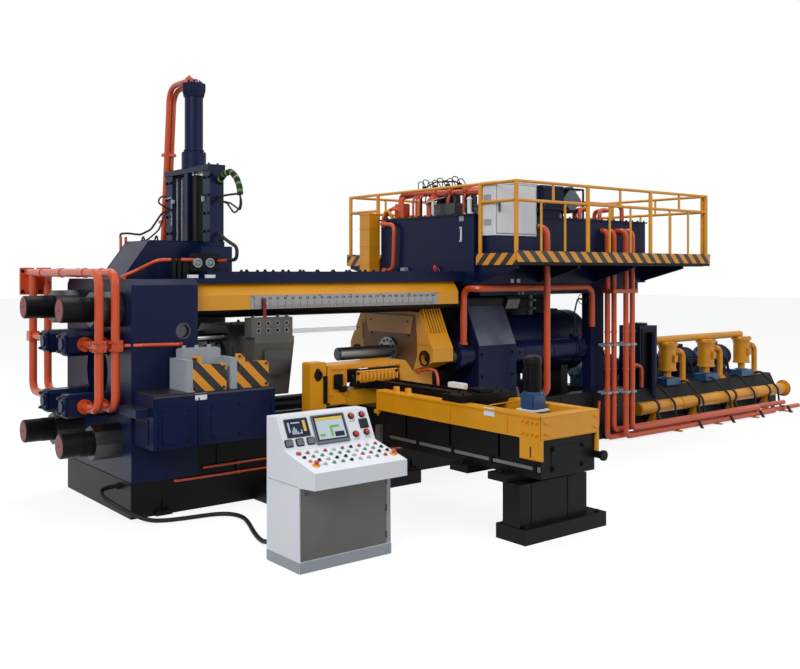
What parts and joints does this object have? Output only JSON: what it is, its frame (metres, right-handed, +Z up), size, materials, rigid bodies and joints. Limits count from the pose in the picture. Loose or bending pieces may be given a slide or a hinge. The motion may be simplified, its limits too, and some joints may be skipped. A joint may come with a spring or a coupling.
{
  "type": "aluminium extrusion press",
  "caption": "Front-loading hydraulic extrusion press with sliding container, butt shear, die slide, billet loader, oil tank with platform, pump station and desk.",
  "frame": {"origin": "on the floor, on the press centre line, at the exit end of the base", "axes": "+X along the press axis from the exit end to the pumps, -Y towards the working side, +Z up"},
  "size_m": [13.3, 6.068, 4.67],
  "materials": {
    "navy_paint": "semi-gloss navy machine enamel",
    "black_paint": "satin black enamel",
    "yellow_paint": "semi-gloss golden yellow enamel",
    "orange_paint": "gloss orange-red pipe enamel",
    "container_grey": "grey heat-proof paint",
    "polished_steel": "ground and polished",
    "dark_steel": "oiled dark steel",
    "light_grey_paint": "satin light grey enamel",
    "white_paint": "fine-textured white powder coat",
    "pump_blue": "gloss blue enamel",
    "ruler_plate": "brushed plate with engraved scale",
    "red_paint": "dark red enamel",
    "hazard_plate": "yellow and black striped enamel",
    "cable_black": "matt black sheath"
  },
  "bodies": {
    "frame": {"base": "black_paint", "guide_ways": "polished_steel", "front_platen": "navy_paint", "tie_rods": "black_paint", "tie_rod_nuts": "dark_steel", "shift_cylinders": "navy_paint", "die_slide_bed": "navy_paint", "shear_base": "navy_paint", "shear_columns": "navy_paint", "shear_cylinder": "navy_paint", "top_beam": "navy_paint", "rod_guards": "yellow_paint", "ruler": "ruler_plate", "rear_platen": "navy_paint", "main_cylinder": "navy_paint", "side_cylinders": "navy_paint", "oil_tank": "navy_paint", "tank_lid": "navy_paint", "tank_frame": "navy_paint", "tank_columns": "navy_paint", "deck": "black_paint", "toe_board": "hazard_plate", "railing_sides": "yellow_paint", "railing_ends": "yellow_paint", "cabinet": "white_paint", "oil_cooler": "navy_paint", "valve_blocks": "dark_steel", "cable_duct": "yellow_paint", "pump_skid": "black_paint", "pump_motors": "navy_paint", "pumps": "pump_blue", "filters": "yellow_paint", "suction_pipe": "yellow_paint", "riser_pipes": "orange_paint", "tank_pipes": "orange_paint", "exit_pipes": "orange_paint", "loader_bed": "black_paint", "loader_frame": "yellow_paint", "loader_drive": "pump_blue", "loader_head": "yellow_paint", "loader_tower": "yellow_paint", "desk_body": "white_paint", "desk_cord": "cable_black", "cord_glands": "cable_black"},
    "container": {"container_housing": "container_grey", "container_liner": "dark_steel", "container_wings": "container_grey", "shift_rods": "polished_steel", "pointer": "red_paint"},
    "crosshead": {"crosshead": "yellow_paint", "ram_stem": "polished_steel", "rams": "polished_steel"},
    "shear": {"shear_holder": "dark_steel", "shear_blade": "polished_steel", "shear_rod": "polished_steel"},
    "die_carrier": {"die_slide": "dark_steel", "die_slide_plates": "hazard_plate", "die_slide_cheeks": "light_grey_paint"},
    "loader": {"loader_arm": "yellow_paint"}
  },
  "joints": [
    {"name": "crosshead_slide", "type": "slide", "parent": "frame", "child": "crosshead", "axis": [-1, 0, 0], "range_m": [0, 1.93]},
    {"name": "container_slide", "type": "slide", "parent": "frame", "child": "container", "axis": [-1, 0, 0], "range_m": [-0.3, 0.262]},
    {"name": "shear_slide", "type": "slide", "parent": "frame", "child": "shear", "axis": [0, 0, 1], "range_m": [-0.73, 0]},
    {"name": "die_slide_travel", "type": "slide", "parent": "frame", "child": "die_carrier", "axis": [0, 1, 0], "range_m": [-0.9, 0]},
    {"name": "loader_slide", "type": "slide", "parent": "frame", "child": "loader", "axis": [0, -1, 0], "range_m": [-1.16, 0]}
  ]
}
